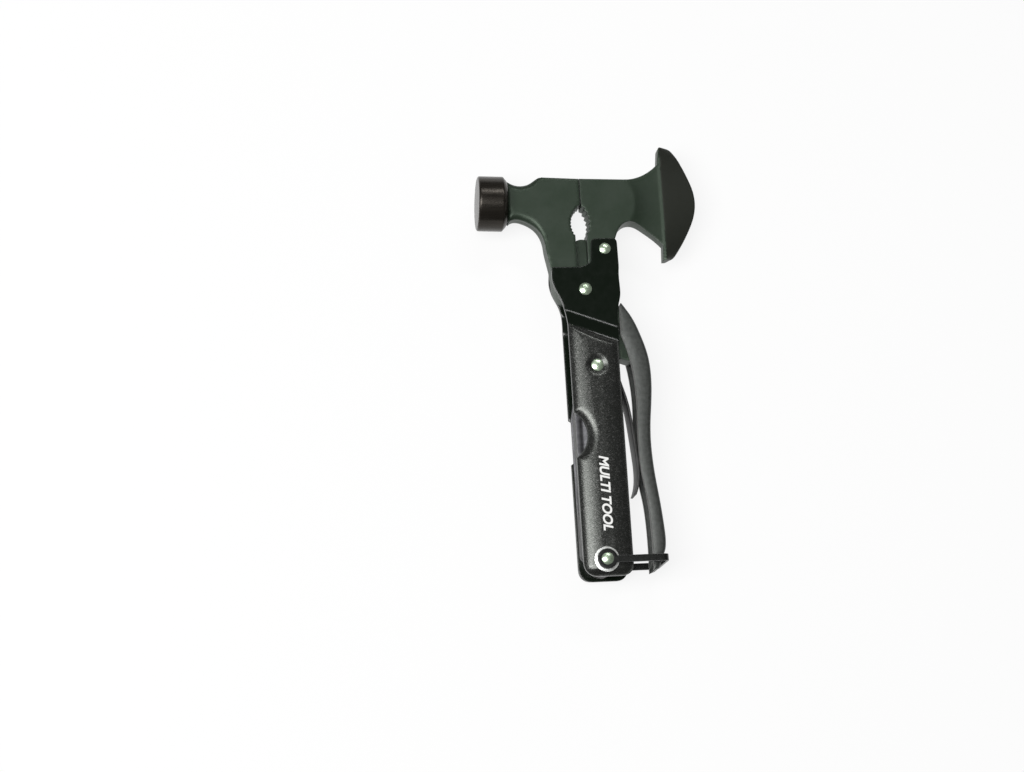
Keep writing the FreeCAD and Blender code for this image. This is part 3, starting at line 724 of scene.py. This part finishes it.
def step_height(x, y):
    """Rise of the sheet: a straight ramp whose two bends are rounded by averaging it over a short
    stretch."""
    down = -(y - PIVOT[1]) * math.cos(RAMP_TURN) + (x - PIVOT[0]) * math.sin(RAMP_TURN) + RAMP_TOP
    shifts = np.linspace(-BEND, BEND, 9)
    return STEP_RISE * np.mean([np.clip((down + shift) / RAMP_LONG, 0, 1) for shift in shifts], axis=0)


def flipped(shell):
    """The same shell on the other side of the tool's middle plane."""
    verts = shell[0] * (1, 1, -1) + (0, 0, 2 * MID_Z)
    return verts, [face[::-1] for face in shell[1]], shell[2]


liner_loops = outlines("front_liner", lambda c, n: n[:, 2] > 0.3)
print("liner outlines:", [len(loop) for loop in liner_loops])
liner = slab(liner_loops,
             lambda x, y, d: MID_Z + HEAD_HALF + SHEET + step_height(x, y),
             lambda x, y, d: MID_Z + HEAD_HALF + step_height(x, y), edge=0.28, spacing=0.8)
make_piece("liner_front", [liner], "front_liner")
make_piece("liner_back", [flipped(liner)], "rear_liner")

# %% Scales
SCALE_LOW, SCALE_HIGH = [box_mm("front_scale")[k][2] for k in (0, 1)]
SCALE_MIDDLE = sum(box_mm("front_scale")[k][0] for k in (0, 1)) / 2
BEVEL_WIDE, BEVEL_ROUND, CROWN, RIM_TALL, DISH_WIDE, DISH_DEEP = 2.35, 0.75, 0.9, 0.5, 4.9, 1.35


def scale_top(x, y, d):
    """Rim, then the lower of a straight bevel and a slightly crowned top, run together by the
    smooth minimum (a + b - sqrt((a - b)^2 + k^2)) / 2, less the dish at the rivet."""
    tall = SCALE_HIGH - SCALE_LOW - RIM_TALL
    bevel = tall * d / BEVEL_WIDE
    crowned = tall - CROWN * ((x - SCALE_MIDDLE) / 9.0) ** 2
    rise = (bevel + crowned - np.sqrt((bevel - crowned) ** 2 + BEVEL_ROUND ** 2)) / 2
    rise = np.maximum(rise + BEVEL_ROUND * 0.12, 0) * np.clip(d / 0.3, 0, 1)
    r = np.hypot(x - MIDDLE[0], y - MIDDLE[1])
    dish = np.where(r < DISH_WIDE, DISH_DEEP * (0.5 + 0.5 * np.cos(np.pi * r / DISH_WIDE)) ** 0.8, 0)
    return np.minimum(SCALE_LOW + RIM_TALL + rise, SCALE_HIGH) - dish


scale_rim = max(section("front_scale", SCALE_LOW + 0.2), key=len)
SHOULDER_ROWS = (0.4, 0.8, 1.2, 1.6, 2.0, 2.4, 2.8)      # extra rows of points over the soft shoulder
scale = slab([scale_rim], scale_top, SCALE_LOW, edge=0.2, spacing=0.6, insets=SHOULDER_ROWS)
make_piece("scale_front", [scale], "front_scale")
make_piece("scale_back", [flipped(scale)], "rear_scale")

# %% [markdown]
# ## The lever
# The lever is a channel pressed from sheet: a web along the outside and a flange on each face, with
# one generous radius where they meet. Its section is carried down the handle, and the outer and
# inner lines of the flange, read from the CAD model, say how deep the channel is at each height.

# %% Lever
LEVER_HALF, LEVER_SHEET, LEVER_BEND = 6.0, 1.5, 1.7


def lever_channel():
    """Rows down the lever. Each has the same section, given as a share of the width between the
    outer and inner line, a distance in from there, and a height."""
    flange = max(section("lever_channel", MID_Z + LEVER_HALF - 0.7), key=len)
    top, bottom = flange[:, 1].max() - 0.6, flange[:, 1].min() + 0.02
    share = np.linspace(0, 1, 220)
    y = top + (bottom - top) * (share + 0.03 * np.sin(2 * np.pi * share))
    starts, ends = ends_of([flange])
    crossing = (starts[None, :, 1] > y[:, None]) != (ends[None, :, 1] > y[:, None])
    slope = (ends[:, 0] - starts[:, 0]) / np.where(np.abs(ends[:, 1] - starts[:, 1]) < 1e-9, 1e-9,
                                                   ends[:, 1] - starts[:, 1])
    x = starts[None, :, 0] + (y[:, None] - starts[None, :, 1]) * slope
    outer = np.where(crossing, x, -1e9).max(1)
    inner = np.where(crossing, x, 1e9).min(1)
    wide = outer - inner
    bend = np.radians(np.linspace(0, 90, 8))
    h, s, r = LEVER_HALF, LEVER_SHEET, LEVER_BEND
    # (share of the width, distance in from there, height) down one side of the section
    half_section = [(0, r - r * math.cos(a), h - r + r * math.sin(a)) for a in bend]
    half_section += [(1, -0.35, h), (1, -0.12, h - 0.12), (1, 0, h - 0.35), (1, 0, h - s + 0.3)]
    half_section += [(1, -0.25, h - s), (0, s + 1.0, h - s), (0, s + 0.3, h - s - 0.3)]
    half_section += [(0, s + 0.15, h - s - 1.0), (0, s + 0.15, 0.6)]
    part = np.array([p[0] for p in half_section])
    step = np.array([p[1] for p in half_section])
    z = np.array([p[2] for p in half_section])
    depth = part * wide[:, None] + np.minimum(step, 0.96 * wide[:, None] * (1 - part) + part * 9)
    front = np.stack([outer[:, None] - depth, np.broadcast_to(y[:, None], depth.shape),
                      np.broadcast_to(MID_Z + z, depth.shape)], axis=-1)
    back = front[:, ::-1] * (1, 1, -1) + (0, 0, 2 * MID_Z)
    verts = np.concatenate([front, back], axis=1)
    rows, columns = verts.shape[:2]
    faces = wrap_faces(rows, columns)
    faces += [list(range(columns))[::-1], list(range((rows - 1) * columns, rows * columns))]
    to_lip = np.where(part == 1, np.abs(step), 2.0)
    return verts.reshape(-1, 3), faces, np.tile(np.concatenate([to_lip, to_lip[::-1]]), rows)


make_piece("lever", [lever_channel()], "lever_channel")

# %% [markdown]
# ## Spring and latch
# The spring is a strip on edge, so its outline is the one that the CAD model shows from the front.
# The latch is a flat strap with an eye at each end, bent twice round the lever. Its arms are slabs, and
# the bar with its two bends is a rounded section carried along a U.

# %% Spring and latch
spring_low, spring_high = box_mm("leaf_spring")
make_piece("spring_leaf", [slab(section("leaf_spring", MID_Z + 0.1, step=0.4), spring_high[2], spring_low[2],
                                edge=0.18, spacing=0.8)], "leaf_spring")

ARM_THICK, BAR_THICK, LATCH_BEND = 1.1, 1.0, 2.2
latch_high = box_mm("latch_bail")[1]
bar_low, bar_high = -1.65, 1.1
arm_end = latch_high[0] - LATCH_BEND - 0.3
arm_loops = section("latch_bail", latch_high[2] - 0.5, step=0.35)
arm_loops = [np.minimum(loop, (arm_end, np.inf)) for loop in arm_loops]
arm = slab(arm_loops, latch_high[2], latch_high[2] - ARM_THICK, edge=0.2, spacing=0.8)


def latch_bar():
    """Rounded strap section carried along the U in the x-z plane."""
    quarter = np.radians(np.linspace(0, 90, 9))
    r = LATCH_BEND - BAR_THICK / 2
    cx, cz = latch_high[0] - LATCH_BEND, latch_high[2] - LATCH_BEND
    x = np.concatenate([[arm_end - 1.5], cx + r * np.sin(quarter)])
    z = np.concatenate([[cz + r], cz + r * np.cos(quarter)])
    x, z = np.concatenate([x, x[::-1]]), np.concatenate([z, (2 * MID_Z - z)[::-1]])
    nx = np.concatenate([[0], np.sin(quarter), np.sin(quarter)[::-1], [0]])
    nz = np.concatenate([[1], np.cos(quarter), -np.cos(quarter)[::-1], [-1]])
    path = np.column_stack([x, np.full(len(x), END[1]), z])
    normal = np.column_stack([nx, np.zeros(len(x)), nz])
    half = BAR_THICK / 2 - 0.01
    corners = round_corners([(-half, bar_low), (half, bar_low), (half, bar_high), (-half, bar_high)], 0.22, 4)
    return carried(path, normal, (corners[:, 0], corners[:, 1], (0, 1, 0)))


make_piece("latch", [arm, flipped(arm), latch_bar()], "latch_bail")

# %% [markdown]
# ## Rivets, washers and other turned pieces
# A rivet head is a low dome on a thin rim. Head width and place come from the CAD box of each rivet.


# %% Turned pieces
def rivet_profile(low, high, shaft, head, dome, rim=0.28):
    """(along, radius) from pole to pole: dome, rim, shaft, rim, dome."""
    ball = (head ** 2 + (dome - rim) ** 2) / (2 * (dome - rim))
    turn = np.linspace(0, math.asin(head / ball), 12)
    cap = [(high - ball + ball * math.cos(a), ball * math.sin(a)) for a in turn]
    cap[-1] = (high - dome + rim, head - 0.06)
    upper = cap + [(high - dome + rim - 0.08, head), (high - dome, head), (high - dome, shaft)]
    return upper + [(low + high - along, radius) for along, radius in reversed(upper)]


# name, CAD node, shaft radius, height of the dome
RIVETS = (("pivot_head", "pivot_rivet", 2.0, 0.95), ("bracket_head", "bracket_rivet", 1.8, 0.85),
          ("middle_head", "middle_rivet", 2.0, 0.8), ("end_head", "end_rivet", 2.0, 0.9))
for name, cad, shaft, dome in RIVETS:
    low, high = box_mm(cad)
    centre = ((low[0] + high[0]) / 2, (low[1] + high[1]) / 2, 0)
    head = (high[0] - low[0]) / 2
    make_piece(name, [turned(rivet_profile(low[2], high[2], shaft, head, dome), centre)], cad)


BORE, SLEEVE_RADIUS, PIN_RADIUS, PIN_SHORT = 2.01, 3.3, 1.5, 1.5
WASHER_RADIUS, WASHER_TALL, WASHER_RIM, SPACER_RADIUS = 5.0, 0.5, 0.2, 5.2


def ring_profile(low, high, inner, outer, edge):
    """Closed ring section with broken corners."""
    return [(low, inner), (low, outer - edge), (low + edge, outer), (high - edge, outer),
            (high, outer - edge), (high, inner), (low, inner)]


def rings(levels, inner, outer, centre, edge=0.12):
    """One turned ring for every pair of heights."""
    at = (centre[0], centre[1], 0)
    return [turned(ring_profile(low, high, inner, outer, edge), at) for low, high in levels]


# each washer is a shallow cone, highest at its hole
low, outer, inner = SCALE_HIGH, WASHER_RADIUS, BORE
cone = [(low, inner), (low, outer - 0.1), (low + 0.08, outer), (low + WASHER_RIM, outer - 0.05),
        (low + WASHER_TALL, inner + 0.5), (low + WASHER_TALL, inner), (low, inner)]
washer = turned(cone, (END[0], END[1], 0))
make_piece("washers", [washer, flipped(washer)], "end_washers")
sleeve = box_mm("middle_spacer")
make_piece("sleeve", rings([(sleeve[0][2], sleeve[1][2])], BORE, SLEEVE_RADIUS, MIDDLE), "middle_spacer")
pin = box_mm("stop_pin")
pin_ends = (pin[0][2] + PIN_SHORT, pin[1][2] - PIN_SHORT)
make_piece("rest_pin", rings([pin_ends], 0.0, PIN_RADIUS, (pin[0] + pin[1]) / 2), "stop_pin")

# %% [markdown]
# ## Folding tools
# Each tool is a flat blank on the end rivet. The knife is hollow ground on both faces, the file has
# rows of cut ridges, and the Phillips driver's shank is a profile turned with a radius that four
# flutes eat into near the tip.

# %% Tools
TOOLS = ("knife_blade", "saw_blade", "file_driver", "phillips_driver", "can_opener")
TOOL_BOX = {name: box_mm(name) for name in TOOLS}


NICK_ACROSS, NICK_START, NICK_END, NICK_RADIUS, NICK_DEEP = -5.4, 44, 57, 1.0, 0.45      # from the end rivet


def nick(x, y):
    """Depth of the nail nick, a groove with round ends: deep * (1 - (distance / radius)^2), not below 0."""
    past = np.maximum(np.maximum(END[1] + NICK_START - y, y - (END[1] + NICK_END)), 0)
    away = np.hypot(x - (END[0] + NICK_ACROSS), past)
    return NICK_DEEP * np.clip(1 - (away / NICK_RADIUS) ** 2, 0, 1)


def tool_shape(name):
    """Flat blank of one tool, with the thickness that its grinding or cutting leaves."""
    low, high = TOOL_BOX[name][0][2], TOOL_BOX[name][1][2]
    middle, half = (low + high) / 2, (high - low) / 2

    def thickness(x, y, d):
        x, y = x - END[0], y - END[1]
        if name == "knife_blade":
            share = np.clip((x + 2.4) / 7.0, 0, 1) * smooth((y - 12) / 6)
            return half * (1 - 0.93 * share ** 0.8)
        if name == "saw_blade":
            return half * (1 - 0.35 * smooth((x - 1.5) / 3.0) * smooth((y - 14) / 3))
        if name == "file_driver":
            ridge = np.abs(((y + 0.35 * x) / 1.1) % 1 - 0.5)
            area = smooth((y - 15) / 2) * smooth((60 - y) / 2) * smooth((d - 0.5) / 0.3)
            flat = smooth((y - 63) / 7)
            return half * (1 - 0.62 * flat) - 0.22 * ridge * area
        return half - 0.3 * smooth((0.9 - d) / 0.9) * smooth((y - 30) / 5)

    def top(x, y, d):
        return middle + thickness(x, y, d) - nick(x, y)

    outline_at = section(name, middle + 0.01, step=0.4)
    spacing = 0.36 if name == "file_driver" else 0.8
    return slab(outline_at, top, lambda x, y, d: middle - thickness(x, y, d), edge=0.15, spacing=spacing)


FLAT_TOOLS = (("knife_blade", "knife"), ("saw_blade", "saw"), ("file_driver", "file"),
              ("can_opener", "opener"))
for name, label in FLAT_TOOLS:
    make_piece(label, [tool_shape(name)], name)


SHANK_FROM, BLANK_LONG = (-2.6, 12.0), 24.0      # from the end rivet


def phillips():
    """Blank with a turned shank: radius(s) * (1 - depth(s) * wave(a)), where depth grows towards the
    tip and the four flutes' wave is 1.6 |sin 2a| - 0.5, kept between 0 and 1."""
    low, high = TOOL_BOX["phillips_driver"]
    middle, radius = (low[2] + high[2]) / 2, (high[2] - low[2]) / 2
    foot = np.array([END[0] + SHANK_FROM[0], END[1] + SHANK_FROM[1], middle])
    long = high[1] - foot[1]
    along = np.concatenate([np.linspace(0, long - 6.5, 14), np.linspace(long - 6.0, long, 22)])
    wide = np.interp(along, [0, long - 3.8, long], [radius, radius, 0.55])
    angle = np.linspace(0, 2 * np.pi, 96, endpoint=False)
    deep = 0.5 * smooth((along - (long - 6.0)) / 4.0)
    wave = np.clip(1.6 * np.abs(np.sin(2 * angle)) - 0.5, 0, 1)
    r = wide[:, None] * (1 - deep[:, None] * wave)
    verts = np.stack([foot[0] + r * np.cos(angle), np.broadcast_to((foot[1] + along)[:, None], r.shape),
                      middle + r * np.sin(angle)], axis=-1).reshape(-1, 3)
    faces = wrap_faces(len(along), len(angle))
    faces += [list(range(len(angle))), list(range(len(verts) - len(angle), len(verts)))[::-1]]
    shank = (verts, faces, np.ones(len(verts)))
    loops = section("phillips_driver", middle + 0.01, step=0.4)
    loops = [np.minimum(loop, (np.inf, END[1] + BLANK_LONG)) for loop in loops]
    return [slab(loops, high[2], low[2], edge=0.15, spacing=1.0), shank]


make_piece("phillips", phillips(), "phillips_driver")
spacer_levels = sorted({round(float(z), 3) for z in triangles("tool_spacers")[..., 2].ravel()})
spacer_pairs = list(zip(spacer_levels[::2], spacer_levels[1::2]))
make_piece("spacers", rings(spacer_pairs, BORE, SPACER_RADIUS, END, 0.05), "tool_spacers")

# %% [markdown]
# ## Lettering
# The scale carries plain white lettering that says what the thing is. It is text made into a mesh,
# whose face is a few hundredths of a millimetre above the scale's highest line.


# %% Lettering
def lettering(words, size, at, turn):
    """Sloping text as a mesh, turned and put in place; size and place are in millimetres."""
    font = bpy.data.curves.new("lettering", "FONT")
    font.body = words
    font.size = size
    font.align_x, font.align_y = "CENTER", "CENTER"
    font.shear = 0.25
    font.offset = 0.15
    font.space_character = 0.98
    font.extrude = 0.09
    maker = bpy.data.objects.new("lettering_maker", font)
    bpy.context.scene.collection.objects.link(maker)
    bpy.context.view_layer.update()
    mesh = bpy.data.meshes.new_from_object(maker)
    bpy.data.objects.remove(maker)
    mesh.transform(Matrix.Translation(at) @ Matrix.Rotation(turn, 4, "Z"))
    mesh.transform(Matrix.Scale(MM, 4))
    piece = bpy.data.objects.new("lettering", mesh)
    bpy.context.scene.collection.objects.link(piece)
    mesh.materials.clear()
    mesh.materials.append(MATERIALS["white_print"])
    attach(piece, "frame")
    MADE.append(piece)


lettering("MULTI TOOL", 5.2, Vector((PIVOT[0] + 1.5, PIVOT[1] - 84.8, SCALE_HIGH - 0.05)), math.radians(-90))
print(len(MADE), "pieces made")

# %% [markdown]
# ## Studio
# A pale floor lies under the tool. It gives off light of its own, so it stays pale right up to the
# tool. One broad soft light hangs overhead on the left, and a narrow weak one stands beyond the head.
# The camera looks almost straight down.

# %% Floor, light and camera
floor_mesh = bpy.data.meshes.new("floor")
floor_mesh.from_pydata([(-3, -3, 0), (3, -3, 0), (3, 3, 0), (-3, 3, 0)], [], [(0, 1, 2, 3)])
floor = bpy.data.objects.new("floor", floor_mesh)
bpy.context.scene.collection.objects.link(floor)
new_material("pale_floor", (0.12, 0.12, 0.12), 1.0, Specular_IOR_Level=0.0, Emission_Color=(1, 1, 1, 1),
             Emission_Strength=0.86)
floor_mesh.materials.append(MATERIALS["pale_floor"])


def soft_light(name, place_at, size, power):
    """Rectangular lamp that looks at the origin; place and size are in metres, power in watts."""
    light = bpy.data.lights.new(name, "AREA")
    light.shape = "RECTANGLE"
    light.size, light.size_y = size
    light.energy = power
    lamp = bpy.data.objects.new(name, light)
    bpy.context.scene.collection.objects.link(lamp)
    lamp.location = place_at
    lamp.rotation_euler = (-Vector(place_at)).to_track_quat("-Z", "Y").to_euler()


soft_light("overhead_panel", (-0.6, -0.12, 1.2), (0.6, 1.1), 20)
soft_light("far_window", (0.3, 1.1, 1.3), (0.9, 0.16), 5)
world = bpy.data.worlds.new("studio")
world.use_nodes = True
world.node_tree.nodes["Background"].inputs["Color"].default_value = (1, 1, 1, 1)
world.node_tree.nodes["Background"].inputs["Strength"].default_value = 0.08
bpy.context.scene.world = world
bpy.context.scene.view_settings.view_transform = "Standard"      # keeps the pale floor pale

TARGET = Vector((-0.03521, -0.00992, MID_Z * MM))
BACK = Vector((-0.12168, -0.22059, 0.96775)).normalized()
UP = Vector((0.05931, 0.99824, 0.0))
DISTANCE, LENS = 0.9, 78.71
camera = bpy.data.objects.new("camera", bpy.data.cameras.new("camera"))
camera.data.lens = LENS
camera.data.clip_start = 0.01
bpy.context.scene.collection.objects.link(camera)
right = UP.cross(BACK).normalized()
turn = Matrix((right, BACK.cross(right), BACK)).transposed()
camera.matrix_world = Matrix.Translation(TARGET + BACK * DISTANCE) @ turn.to_4x4()
bpy.context.scene.camera = camera
